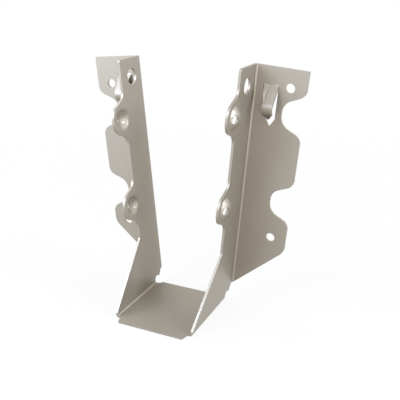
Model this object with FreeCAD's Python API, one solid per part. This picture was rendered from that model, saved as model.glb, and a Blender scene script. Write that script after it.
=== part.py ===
import FreeCAD, Part
import math
import os

# A face-mount joist hanger, folded from one sheet: a seat, two legs that lean outwards and a scalloped
# flange folded outwards from the back edge of each leg.
# The frame: X runs across the joist, Y runs back into the header and Z runs up.
# The origin is where the middle of the joist's lower end edge goes: the flanges' back faces lie in the
# plane Y = 0, and the seat's top lies in the plane Z = 0.
# Sizes of a side are measured in the blank's own directions: "out" from the leg's inner face, "forward"
# from the flange's back face, and "up" along the leg from the seat's top.

V = FreeCAD.Vector

# The sheet and its folds
sheet = 1.2
fold_radius = 0.95
seat_fold_radius = 0.9
leg_lean = 5.0

# The seat
joist_width = 39.7
seat_back = 7.8
seat_front = 52.2
seat_nose_half_width = 17.2
seat_nose_root_half_width = 18.3
seat_nose_radius = 0.7

# The legs
leg_height = 120.6
leg_depth = 20.0
leg_top_radius = 1.0
leg_foot_forward = 48.1
leg_foot_up = 1.9
leg_slope_rise = 28.1
leg_slope_radius = 1.5
heel_forward = 3.0
heel_up = 5.45
heel_radius = 1.0
heel_slope_run = 0.66

# The round relief at the back end of each seat fold
relief_forward = 7.35
relief_up = 0.8
relief_radius = 2.45

# The flanges
flange_width = 26.4
flange_slope_start = 4.0
flange_corner_radius = 6.3
flange_heel_radius = 3.5

# The scalloped edges of legs and flanges share one outline
scallop_depth = 10.6
scallop_crest_half = 5.0
scallop_root_half = 9.8
scallop_crest_radius = 6.5
scallop_root_radius = 4.7
upper_scallop_below_top = 21.3
lower_scallop_up = 55.6
left_scallop_drop = 6.35

# The domed nail seats
dome_forward = 22.8
dome_base_radius = 5.95
dome_rise = 2.6
dome_base_fillet = 0.8
dome_hole_diameter = 4.1
dome_hole_angle = 24.0

# Nail holes in the flanges and the round hole at the top of each leg
nail_hole_diameter = 4.5
nail_hole_out = 18.45
upper_nail_hole_below_top = 8.8
lower_nail_hole_up = 36.6
left_nail_hole_drop = 4.76
leg_hole_diameter = 7.94
leg_hole_forward = 10.5
leg_hole_below_top = 8.85

# The prong pressed out of each flange, with its root below the flange's top and the rest below its root
prong_below_top = 8.3
prong_inner = 8.05
prong_outer = 12.95
prong_knee_drop = 10.9
prong_knee_forward = 9.25
prong_knee_radius = 2.8
prong_root_radius = 0.8
prong_shoulder_drop = 13.1
prong_tip_drop = 16.2
prong_tip_forward = 3.2
slot_shoulder_drop = 15.8
slot_tip_drop = 20.0

# The drawn wall that ties each prong's inner side to the flange
wall_top_start = 5.2
wall_foot_start = 6.1
wall_ridge = 8.7
wall_radius = 0.9
wall_back_shift = 0.6

lean = math.radians(leg_lean)
fold_outside = fold_radius + sheet
foot_setback = seat_fold_radius * math.tan(math.radians(45) - lean / 2)
upper_scallop_up = leg_height - upper_scallop_below_top
upper_nail_hole_up = leg_height - upper_nail_hole_below_top
leg_hole_up = leg_height - leg_hole_below_top
prong_middle = (prong_inner + prong_outer) / 2
prong_top = leg_height - prong_below_top
prong_knee_up = prong_top - prong_knee_drop
prong_tip_up = prong_top - prong_tip_drop
prong_shoulder_up = prong_top - prong_shoulder_drop
slot_shoulder_up = prong_top - slot_shoulder_drop
slot_tip_up = prong_top - slot_tip_drop
ramp_angle = math.atan2(prong_knee_forward - sheet, prong_knee_drop)
point_angle = math.atan2(prong_knee_forward - prong_tip_forward, prong_tip_drop - prong_knee_drop)
knee_reach = (prong_knee_radius + sheet) * math.tan((ramp_angle + point_angle) / 2)
wall_foot_up = prong_knee_up + knee_reach * math.cos(ramp_angle)
wall_foot_forward = prong_knee_forward - knee_reach * math.sin(ramp_angle)


def on_leg(out):
    """Places outline points (forward, up) in a plane beside the leg."""
    return lambda forward, up: V(out, -forward, up)


def on_flange(back):
    """Places outline points (out, up) in a plane beside the flange."""
    return lambda out, up: V(out, back, up)


def rounded_face(corners, place):
    """A flat face from corners (u, v, radius), each corner rounded by its own radius."""
    joints = []
    count = len(corners)
    for i, (u, v, radius) in enumerate(corners):
        corner = V(u, v, 0)
        if radius == 0:
            joints.append((corner, None, corner))
            continue
        before = corners[i - 1]
        after = corners[(i + 1) % count]
        to_before = (V(before[0], before[1], 0) - corner).normalize()
        to_after = (V(after[0], after[1], 0) - corner).normalize()
        half = to_before.getAngle(to_after) / 2
        reach = radius / math.tan(half)
        middle = corner + (to_before + to_after).normalize() * (radius / math.sin(half) - radius)
        joints.append((corner + to_before * reach, middle, corner + to_after * reach))
    edges = []
    for i, (start, middle, end) in enumerate(joints):
        if middle is not None:
            arc = Part.Arc(place(start.x, start.y), place(middle.x, middle.y), place(end.x, end.y))
            edges.append(arc.toShape())
        following = joints[(i + 1) % count][0]
        if (following - end).Length > 1e-6:
            edges.append(Part.makeLine(place(end.x, end.y), place(following.x, following.y)))
    return Part.Face(Part.Wire(edges))


def scallop(edge, middle, side):
    """Corners of one scallop going down the sheet's edge; side is +1 for a lobe and -1 for a notch."""
    crest = edge + side * scallop_depth
    return [
        (edge, middle + scallop_root_half, scallop_root_radius),
        (crest, middle + scallop_crest_half, scallop_crest_radius),
        (crest, middle - scallop_crest_half, scallop_crest_radius),
        (edge, middle - scallop_root_half, scallop_root_radius),
    ]


def scallop_middles(drop):
    """Heights of the two scallops of a side, from the top down."""
    return [upper_scallop_up - drop, lower_scallop_up - drop]


def leg_plate(drop):
    """The flat of the leg with its two lobes, its sloping foot and the relief at its heel."""
    heel_end = heel_forward + (heel_up - foot_setback) * heel_slope_run
    corners = [(fold_outside, leg_height, 0), (leg_depth, leg_height, leg_top_radius)]
    for middle in scallop_middles(drop):
        corners += scallop(leg_depth, middle, 1)
    corners += [
        (leg_depth, leg_foot_up + leg_slope_rise, leg_slope_radius),
        (leg_foot_forward, leg_foot_up, 0),
        (leg_foot_forward, foot_setback, 0),
        (heel_end, foot_setback, 0),
        (heel_forward, heel_up, heel_radius),
        (fold_outside, heel_up, 0),
    ]
    plate = rounded_face(corners, on_leg(0)).extrude(V(sheet, 0, 0))
    relief = Part.makeCylinder(relief_radius, sheet, V(0, -relief_forward, relief_up), V(1, 0, 0))
    hole = Part.makeCylinder(leg_hole_diameter / 2, sheet, V(0, -leg_hole_forward, leg_hole_up), V(1, 0, 0))
    return plate.cut([relief, hole])


def dome(middle):
    """A nail seat drawn outwards from the leg, as a shell of the sheet's own thickness."""
    ball = (dome_base_radius ** 2 / dome_rise + dome_rise) / 2 - dome_base_fillet
    centre = sheet + dome_rise - ball
    fillet_height = sheet + dome_base_fillet
    rim_angle = math.atan2(dome_base_radius, fillet_height - centre)

    def at(angle, radius):
        return V(centre + radius * math.cos(angle), 0, radius * math.sin(angle))

    def fillet_middle(radius):
        turn = math.pi + rim_angle / 2
        return V(fillet_height + radius * math.cos(turn), 0, dome_base_radius + radius * math.sin(turn))

    inside = ball - sheet
    wide_fillet = dome_base_fillet + sheet
    outer_foot = V(sheet, 0, dome_base_radius)
    inner_foot = V(0, 0, dome_base_radius)
    edges = [
        Part.Arc(at(0, ball), at(rim_angle / 2, ball), at(rim_angle, ball)).toShape(),
        Part.Arc(at(rim_angle, ball), fillet_middle(dome_base_fillet), outer_foot).toShape(),
        Part.makeLine(outer_foot, inner_foot),
        Part.Arc(inner_foot, fillet_middle(wide_fillet), at(rim_angle, inside)).toShape(),
        Part.Arc(at(rim_angle, inside), at(rim_angle / 2, inside), at(0, inside)).toShape(),
        Part.makeLine(at(0, inside), at(0, ball)),
    ]
    shell = Part.Face(Part.Wire(edges)).revolve(V(0, 0, 0), V(1, 0, 0), 360)
    turn = math.radians(dome_hole_angle)
    aim = V(math.cos(turn), -math.sin(turn), 0)
    hole = Part.makeCylinder(dome_hole_diameter / 2, 2 * ball, V(centre, 0, 0), aim)
    shell = shell.cut(hole)
    shell.translate(V(0, -dome_forward, middle))
    return shell


def add_domes(leg, drop):
    """Opens the leg under each dome and sets the dome in."""
    for middle in scallop_middles(drop):
        opening = Part.makeCylinder(dome_base_radius, sheet, V(0, -dome_forward, middle), V(1, 0, 0))
        leg = leg.cut(opening).fuse(dome(middle))
    return leg


def bend(centre, inner, start, end, along):
    """A fold of the sheet round a centre line, from one direction to the other, extruded along the fold."""
    middle = (start + end).normalize()
    outer = inner + sheet
    edges = [
        Part.Arc(centre + start * outer, centre + middle * outer, centre + end * outer).toShape(),
        Part.makeLine(centre + end * outer, centre + end * inner),
        Part.Arc(centre + end * inner, centre + middle * inner, centre + start * inner).toShape(),
        Part.makeLine(centre + start * inner, centre + start * outer),
    ]
    return Part.Face(Part.Wire(edges)).extrude(along)


def back_fold():
    """The fold between the leg and its flange, bent outwards."""
    centre = V(fold_outside, -fold_outside, heel_up)
    return bend(centre, fold_radius, V(-1, 0, 0), V(0, 1, 0), V(0, 0, leg_height - heel_up))


def flange_plate(drop):
    """The flat of the flange with its two notches and its sloping lower edge."""
    corners = [(fold_outside, leg_height, 0), (flange_width, leg_height, 0)]
    for middle in scallop_middles(drop):
        corners += scallop(flange_width, middle, -1)
    corners += [
        (flange_width, flange_slope_start + flange_width, flange_corner_radius),
        (fold_outside, flange_slope_start + fold_outside, 0),
    ]
    return rounded_face(corners, on_flange(-sheet)).extrude(V(0, sheet, 0))


def seat_fold():
    """The fold between the leg and the seat, as far as the reliefs at its two ends."""
    back_end = relief_forward + relief_radius
    centre = V(-seat_fold_radius, -back_end, foot_setback)
    downwards = V(math.sin(lean), 0, -math.cos(lean))
    return bend(centre, seat_fold_radius, V(1, 0, 0), downwards, V(0, back_end - leg_foot_forward, 0))


def offset_strip(front):
    """Back corners (forward, up, radius) of a strip of the sheet, from its front corners, top down."""
    normals = []
    for (f0, u0, _), (f1, u1, _) in zip(front, front[1:]):
        length = math.hypot(f1 - f0, u1 - u0)
        normals.append(V((u1 - u0) / length, (f0 - f1) / length, 0))
    normals = [normals[0]] + normals + [normals[-1]]
    back = []
    for i, (forward, up, radius) in enumerate(front):
        mitre = (normals[i] + normals[i + 1]) * (sheet / (1 + normals[i].dot(normals[i + 1])))
        back.append((forward + mitre.x, up + mitre.y, radius))
    return back


def prong():
    """The pointed prong: pressed forward from its root to a knee, then aimed back at the header."""
    front = [
        (sheet, prong_top + 2 * sheet, 0),
        (sheet, prong_top, prong_root_radius),
        (prong_knee_forward, prong_knee_up, prong_knee_radius + sheet),
        (prong_tip_forward, prong_tip_up, 0),
    ]
    back = offset_strip(front)
    back[1] = (back[1][0], back[1][1], prong_root_radius + sheet)
    back[2] = (back[2][0], back[2][1], prong_knee_radius)
    side = rounded_face(front + back[::-1], on_leg(prong_inner))
    strip = side.extrude(V(prong_outer - prong_inner, 0, 0))
    point = [
        (wall_ridge, leg_height, 0),
        (prong_outer, leg_height, 0),
        (prong_outer, prong_shoulder_up, 0),
        (prong_middle, prong_tip_up, 0),
        (prong_inner, prong_shoulder_up, 0),
        (prong_inner, wall_foot_up, 0),
        (wall_ridge, wall_foot_up, 0),
    ]
    outline = rounded_face(point, on_flange(0)).extrude(V(0, -prong_knee_forward, 0))
    return strip.common(outline)


def wall_face(top_start, foot_start, back, rise):
    """Edges of one face of the drawn wall: flat at its top, and a step between two rounds at its foot."""
    turns = 2 * wall_radius
    lift = rise - turns
    span = math.hypot(wall_ridge - foot_start, lift)
    angle = math.atan2(lift, wall_ridge - foot_start) + math.asin(turns / span)

    def valley(turn):
        forward = wall_radius * (1 - math.cos(turn))
        return V(foot_start + wall_radius * math.sin(turn), back - forward, wall_foot_up)

    def ridge(turn):
        over = valley(turn)
        return V(foot_start + wall_ridge - over.x, 2 * back - rise - over.y, wall_foot_up)

    foot = [
        Part.Arc(valley(0), valley(angle / 2), valley(angle)).toShape(),
        Part.makeLine(valley(angle), ridge(angle)),
        Part.Arc(ridge(angle), ridge(angle / 2), ridge(0)).toShape(),
    ]
    round_share = foot[0].Length / sum(edge.Length for edge in foot)
    joints = [V(top_start + share * (wall_ridge - top_start), back, prong_top)
              for share in (0, round_share, 1 - round_share, 1)]
    top = [Part.makeLine(joint, following) for joint, following in zip(joints, joints[1:])]
    return top, foot


def prong_wall():
    """The drawn wall: it swells from nothing at the prong's root to the prong's full reach at the knee."""
    back_rise = wall_foot_forward - sheet / math.cos(ramp_angle)
    front_face = wall_face(wall_top_start, wall_foot_start, -sheet, wall_foot_forward - sheet)
    back_starts = (wall_top_start + wall_back_shift, wall_foot_start + wall_back_shift)
    back_face = wall_face(*back_starts, 0, back_rise)
    wires = []
    for front, back in zip(front_face, back_face):
        start, end = [Part.makeLine(front[i].Vertexes[i].Point, back[i].Vertexes[i].Point) for i in (0, -1)]
        wires.append(Part.Wire([start] + front + [end] + back[::-1]))
    return Part.makeLoft(wires, True, True)


def slot():
    """The opening that the prong and its wall leave in the flange."""
    corners = [
        (wall_top_start + wall_back_shift, prong_top, 0),
        (prong_outer, prong_top, 0),
        (prong_outer, slot_shoulder_up, 0),
        (prong_middle, slot_tip_up, 0),
        (prong_inner, slot_shoulder_up, 0),
        (prong_inner, wall_foot_up, 0),
        (wall_foot_start + wall_back_shift, wall_foot_up, 0),
    ]
    return rounded_face(corners, on_flange(-sheet)).extrude(V(0, sheet, 0))


def heel_cut():
    """The waste below the flange's sloping edge, carried round the fold in one curve."""
    corners = [
        (-sheet, heel_up, 0),
        (heel_up - flange_slope_start, heel_up, flange_heel_radius),
        (flange_width, flange_slope_start + flange_width, 0),
        (flange_width, -sheet, 0),
        (-sheet, -sheet, 0),
    ]
    return rounded_face(corners, on_flange(-fold_outside)).extrude(V(0, fold_outside, 0))


def flange(scallop_drop, nail_drop):
    """The flange with its fold, its nail holes and its prong."""
    plate = flange_plate(scallop_drop).fuse(back_fold()).cut([heel_cut(), slot()])
    for up in (upper_nail_hole_up, lower_nail_hole_up):
        place = V(nail_hole_out, 0, up - nail_drop)
        plate = plate.cut(Part.makeCylinder(nail_hole_diameter / 2, sheet, place, V(0, -1, 0)))
    return plate.fuse([prong(), prong_wall()])


def side(scallop_drop, nail_drop):
    """The right-hand leg and flange, leant outwards and set beside the seat."""
    leg = add_domes(leg_plate(scallop_drop), scallop_drop)
    folded = leg.fuse([flange(scallop_drop, nail_drop), seat_fold()])
    folded.rotate(V(0, 0, 0), V(0, 1, 0), leg_lean)
    folded.translate(V(joist_width / 2, 0, 0))
    return folded


def seat():
    """The flat seat between the two folds, with its nose and the reliefs at its back corners."""
    flat_half = joist_width / 2 - foot_setback
    right_edge = [
        (seat_nose_half_width, -seat_front, 0),
        (seat_nose_root_half_width, -leg_foot_forward, seat_nose_radius),
        (flat_half, -leg_foot_forward, 0),
        (flat_half, -seat_back, 0),
    ]
    left_edge = [(-x, y, radius) for x, y, radius in reversed(right_edge)]
    plate = rounded_face(right_edge + left_edge, lambda x, y: V(x, y, -sheet)).extrude(V(0, 0, sheet))
    for hand in (-1, 1):
        centre = V(hand * flat_half, -relief_forward, -sheet)
        plate = plate.cut(Part.makeCylinder(relief_radius, sheet, centre))
    return plate


right = side(0, 0)
left = side(left_scallop_drop, left_nail_hole_drop).mirror(V(0, 0, 0), V(1, 0, 0))
hanger = seat().fuse([right, left]).removeSplitter()
os.makedirs("parts", exist_ok=True)
hanger.exportStep("parts/folded_hanger.step")
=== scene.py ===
import math

import bpy
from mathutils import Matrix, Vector


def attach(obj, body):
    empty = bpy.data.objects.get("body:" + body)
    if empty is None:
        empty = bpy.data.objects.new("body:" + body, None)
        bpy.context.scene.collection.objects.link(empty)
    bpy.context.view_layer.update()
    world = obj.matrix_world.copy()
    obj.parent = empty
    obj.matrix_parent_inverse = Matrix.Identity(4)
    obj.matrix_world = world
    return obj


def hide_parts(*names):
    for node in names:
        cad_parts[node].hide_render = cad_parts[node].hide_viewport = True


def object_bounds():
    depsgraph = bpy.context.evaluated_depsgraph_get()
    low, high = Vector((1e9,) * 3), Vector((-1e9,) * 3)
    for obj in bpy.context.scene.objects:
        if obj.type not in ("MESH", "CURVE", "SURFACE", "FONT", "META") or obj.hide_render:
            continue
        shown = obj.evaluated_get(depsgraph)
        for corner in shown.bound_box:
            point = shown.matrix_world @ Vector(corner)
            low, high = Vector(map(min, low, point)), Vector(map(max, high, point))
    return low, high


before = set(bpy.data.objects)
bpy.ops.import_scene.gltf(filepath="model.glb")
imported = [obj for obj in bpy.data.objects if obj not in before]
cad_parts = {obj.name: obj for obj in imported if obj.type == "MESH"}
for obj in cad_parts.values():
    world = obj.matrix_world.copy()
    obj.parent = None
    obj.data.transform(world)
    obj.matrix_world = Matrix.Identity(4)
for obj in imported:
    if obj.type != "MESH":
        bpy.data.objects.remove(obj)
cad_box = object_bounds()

# A joist hanger folded from satin stainless sheet, on a pale studio floor. Lengths are in metres. The angles
# of the camera and lamps are in degrees, where an azimuth of 0 is the front and 90 is the right.
MM = 0.001

# The camera, as fitted to the photograph's edges
CAMERA_AZIMUTH = 25.07
CAMERA_ELEVATION = 20.645
CAMERA_DISTANCE = 350.9 * MM
CAMERA_TARGET = Vector((-8.73, 23.55, 38.41)) * MM
CAMERA_LENS = 56.11
CAMERA_NEAREST = 10 * MM
CAMERA_FARTHEST = 50.0

# The lamps all face the middle of the hanger, from the same distance
LAMP_AIM = Vector((0, 0, 60)) * MM
LAMP_DISTANCE = 1.0

# The white of the world and the background
WHITE = "#FFFFFF"
WHITE_STRENGTH = 1.0

# The floor's own colour and size. The camera and the steel see it mixed with white: by a fixed share within
# the reach of the hanger's shadow, then by more, until it is all white.
FLOOR_COLOUR = "#ABA8A3"
FLOOR_SIZE = 12.0
SHADOW_REACH = 100 * MM
WHITE_REACH = 400 * MM
WHITE_IN_SHADOW = 0.90

# The steel's two tones and the size of their clouds
TONE_DARK = "#938B7E"
TONE_LIGHT = "#978F82"
CLOUD_SIZE = 22 * MM

# The steel's grain. The real one is too fine to show, so it is drawn coarser.
GRAIN_SIZE = 0.35 * MM
GRAIN_DEPTH = 0.03 * MM
GRAIN_STRENGTH = 0.06
ROUGHNESS_LEAST = 0.54
ROUGHNESS_MOST = 0.60

# The thin film of oil
FILM_WEIGHT = 0.42
FILM_ROUGHNESS = 0.20

# How the copy of the sheet is smoothed: corners this close are joined, faces this close to flat become one,
# and shading runs smoothly over bends up to the last angle
JOIN_REACH = 0.001 * MM
FLAT_ANGLE = math.radians(0.2)
SMOOTH_ANGLE = math.radians(40)


def linear(code):
    """An sRGB hex colour as linear red, green, blue and an alpha of one."""
    parts = [int(code[i:i + 2], 16) / 255 for i in (1, 3, 5)]
    return [c / 12.92 if c <= 0.04045 else ((c + 0.055) / 1.055) ** 2.4 for c in parts] + [1.0]


def add_node(tree, kind, settings=None, inputs=None):
    """Adds one node, sets its own settings, then sets or links its inputs."""
    node = tree.nodes.new(kind)
    for name, value in (settings or {}).items():
        setattr(node, name, value)
    for name, value in (inputs or {}).items():
        if isinstance(value, bpy.types.NodeSocket):
            tree.links.new(value, node.inputs[name])
        else:
            node.inputs[name].default_value = value
    return node


def new_material(name):
    """A material with no nodes yet."""
    material = bpy.data.materials.new(name)
    material.use_nodes = True
    material.node_tree.nodes.clear()
    return material


def satin_stainless():
    """Cold-rolled stainless sheet with a satin mill finish, under the thin film of oil that pressing leaves.

    The steel is a warm grey that mirrors very softly, with a fine even grain and faint clouds in its tone.
    The film adds small clear glints on the domes, knees and rounded edges.
    """
    material = new_material("satin_stainless_sheet")
    tree = material.node_tree
    coordinates = add_node(tree, "ShaderNodeTexCoord").outputs["Object"]
    cloud = add_node(tree, "ShaderNodeTexNoise", inputs={
        "Vector": coordinates, "Scale": 1 / CLOUD_SIZE, "Detail": 3.0, "Roughness": 0.55})
    tone = add_node(tree, "ShaderNodeMix", {"data_type": "RGBA"}, {
        "Factor": cloud.outputs["Fac"], "A": linear(TONE_DARK), "B": linear(TONE_LIGHT)})
    grain = add_node(tree, "ShaderNodeTexNoise", inputs={
        "Vector": coordinates, "Scale": 1 / GRAIN_SIZE, "Detail": 2.0, "Roughness": 0.6})
    rough = add_node(tree, "ShaderNodeMapRange", inputs={
        "Value": grain.outputs["Fac"], "To Min": ROUGHNESS_LEAST, "To Max": ROUGHNESS_MOST})
    bump = add_node(tree, "ShaderNodeBump", inputs={
        "Height": grain.outputs["Fac"], "Strength": GRAIN_STRENGTH, "Distance": GRAIN_DEPTH})
    steel = add_node(tree, "ShaderNodeBsdfPrincipled", inputs={
        "Base Color": tone.outputs["Result"], "Metallic": 1.0,
        "Roughness": rough.outputs["Result"], "Normal": bump.outputs["Normal"],
        "Coat Weight": FILM_WEIGHT, "Coat Roughness": FILM_ROUGHNESS})
    add_node(tree, "ShaderNodeOutputMaterial", inputs={"Surface": steel.outputs["BSDF"]})
    return material


def backdrop_rays(tree):
    """One for rays that see the background, from the camera or off or through the object, and else zero."""
    path = add_node(tree, "ShaderNodeLightPath")
    seen = add_node(tree, "ShaderNodeMath", {"operation": "MAXIMUM"}, {
        0: path.outputs["Is Camera Ray"], 1: path.outputs["Is Glossy Ray"]})
    return add_node(tree, "ShaderNodeMath", {"operation": "MAXIMUM"}, {
        0: seen.outputs[0], 1: path.outputs["Is Transmission Ray"]}).outputs[0]


def matt_floor():
    """Matt paper that keeps a soft shadow under the hanger and fades outwards into the white background."""
    material = new_material("white_studio_floor")
    tree = material.node_tree
    paper = add_node(tree, "ShaderNodeBsdfDiffuse", inputs={"Color": linear(FLOOR_COLOUR)})
    white = add_node(tree, "ShaderNodeEmission", inputs={"Color": linear(WHITE), "Strength": WHITE_STRENGTH})
    coordinates = add_node(tree, "ShaderNodeTexCoord").outputs["Object"]
    distance = add_node(tree, "ShaderNodeVectorMath", {"operation": "LENGTH"}, {0: coordinates})
    fade = add_node(tree, "ShaderNodeMapRange", inputs={
        "Value": distance.outputs["Value"], "From Min": SHADOW_REACH, "From Max": WHITE_REACH,
        "To Min": WHITE_IN_SHADOW, "To Max": 1.0})
    share = add_node(tree, "ShaderNodeMath", {"operation": "MULTIPLY"}, {
        0: backdrop_rays(tree), 1: fade.outputs["Result"]})
    mix = add_node(tree, "ShaderNodeMixShader", inputs={
        "Fac": share.outputs[0], 1: paper.outputs["BSDF"], 2: white.outputs["Emission"]})
    add_node(tree, "ShaderNodeOutputMaterial", inputs={"Surface": mix.outputs["Shader"]})
    return material


def studio_floor():
    """The floor, level with the hanger's lowest point."""
    bpy.ops.mesh.primitive_plane_add(size=FLOOR_SIZE, location=(0, 0, cad_box[0].z))
    floor = bpy.context.object
    floor.name = "studio_floor"
    floor.data.materials.append(matt_floor())


def white_world():
    """A plain white world, for the even light on the hanger and for the background."""
    world = bpy.data.worlds.new("studio_world")
    bpy.context.scene.world = world
    world.use_nodes = True
    tree = world.node_tree
    tree.nodes.clear()
    white = add_node(tree, "ShaderNodeBackground", inputs={
        "Color": linear(WHITE), "Strength": WHITE_STRENGTH})
    add_node(tree, "ShaderNodeOutputWorld", inputs={"Surface": white.outputs["Background"]})


def place(data, target, azimuth, elevation, distance):
    """Puts a lamp or the camera at a distance from its target and turns it to face that."""
    a, e = math.radians(azimuth), math.radians(elevation)
    back = Vector((math.sin(a) * math.cos(e), -math.cos(a) * math.cos(e), math.sin(e)))
    piece = bpy.data.objects.new(data.name, data)
    piece.location = target + back * distance
    piece.rotation_euler = (-back).to_track_quat("-Z", "Y").to_euler()
    bpy.context.scene.collection.objects.link(piece)
    return piece


def softbox(name, azimuth, elevation, width, height, brightness, colour):
    """A soft rectangular lamp that faces the hanger. The brightness is its face's, whatever its size."""
    lamp = bpy.data.lights.new(name, "AREA")
    lamp.color = linear(colour)[:3]
    lamp.shape = "RECTANGLE"
    lamp.size = width
    lamp.size_y = height
    lamp.energy = brightness * math.pi * width * height
    place(lamp, LAMP_AIM, azimuth, elevation, LAMP_DISTANCE)


def studio_camera():
    """The camera at the photograph's viewing angle."""
    camera = bpy.data.cameras.new("camera")
    camera.lens = CAMERA_LENS
    camera.clip_start = CAMERA_NEAREST
    camera.clip_end = CAMERA_FARTHEST
    bpy.context.scene.camera = place(
        camera, CAMERA_TARGET, CAMERA_AZIMUTH, CAMERA_ELEVATION, CAMERA_DISTANCE)


def smooth_hanger():
    """The folded sheet with its loose triangles joined, so that the folds and domes shade smoothly."""
    piece = bpy.data.objects.new("hanger_sheet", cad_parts["folded_hanger"].data.copy())
    bpy.context.scene.collection.objects.link(piece)
    bpy.ops.object.select_all(action="DESELECT")
    piece.select_set(True)
    bpy.context.view_layer.objects.active = piece
    bpy.ops.object.mode_set(mode="EDIT")
    bpy.ops.mesh.select_all(action="SELECT")
    bpy.ops.mesh.remove_doubles(threshold=JOIN_REACH)
    bpy.ops.mesh.dissolve_limited(angle_limit=FLAT_ANGLE)
    bpy.ops.mesh.select_all(action="DESELECT")
    bpy.ops.object.mode_set(mode="OBJECT")
    bpy.ops.object.shade_smooth_by_angle(angle=SMOOTH_ANGLE)
    flats = piece.modifiers.new("flats_stay_flat", "WEIGHTED_NORMAL")
    flats.keep_sharp = True
    bpy.ops.object.modifier_apply(modifier=flats.name)
    piece.data.materials.clear()
    piece.data.materials.append(satin_stainless())
    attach(piece, "root")
    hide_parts("folded_hanger")


studio_camera()
smooth_hanger()
studio_floor()
white_world()

# Each softbox has its azimuth and elevation, its width and height, and its brightness and colour.
# From the front left, mostly for the left flange
softbox("softbox_key", -37, 25, 0.34, 0.34, 12.0, "#D4E3FF")
softbox("softbox_key_high", -30, 38, 0.30, 0.30, 19.3, "#CFE3FF")
softbox("softbox_left", -60, 30, 0.30, 0.30, 18.3, "#DFE8FF")
softbox("softbox_low_left", -60, 8, 0.50, 0.37, 11.4, "#D9E9FF")
# From the right, for the right flange and both legs
softbox("softbox_low_right", 30, 12, 0.50, 0.45, 11.0, "#F5F8FF")
softbox("softbox_right", 92, 29, 0.24, 0.25, 53.0, "#E0ECFF")
softbox("softbox_right_low", 80, 12, 0.22, 0.26, 18.5, "#E8EFFF")
# From behind, for the seat
softbox("softbox_back_right", 150, 50, 0.30, 0.30, 6.7, "#F5FDFF")
softbox("softbox_back_left", -120, 50, 0.35, 0.35, 4.3, "#FBFBFF")

bpy.context.scene.view_settings.view_transform = "Standard"
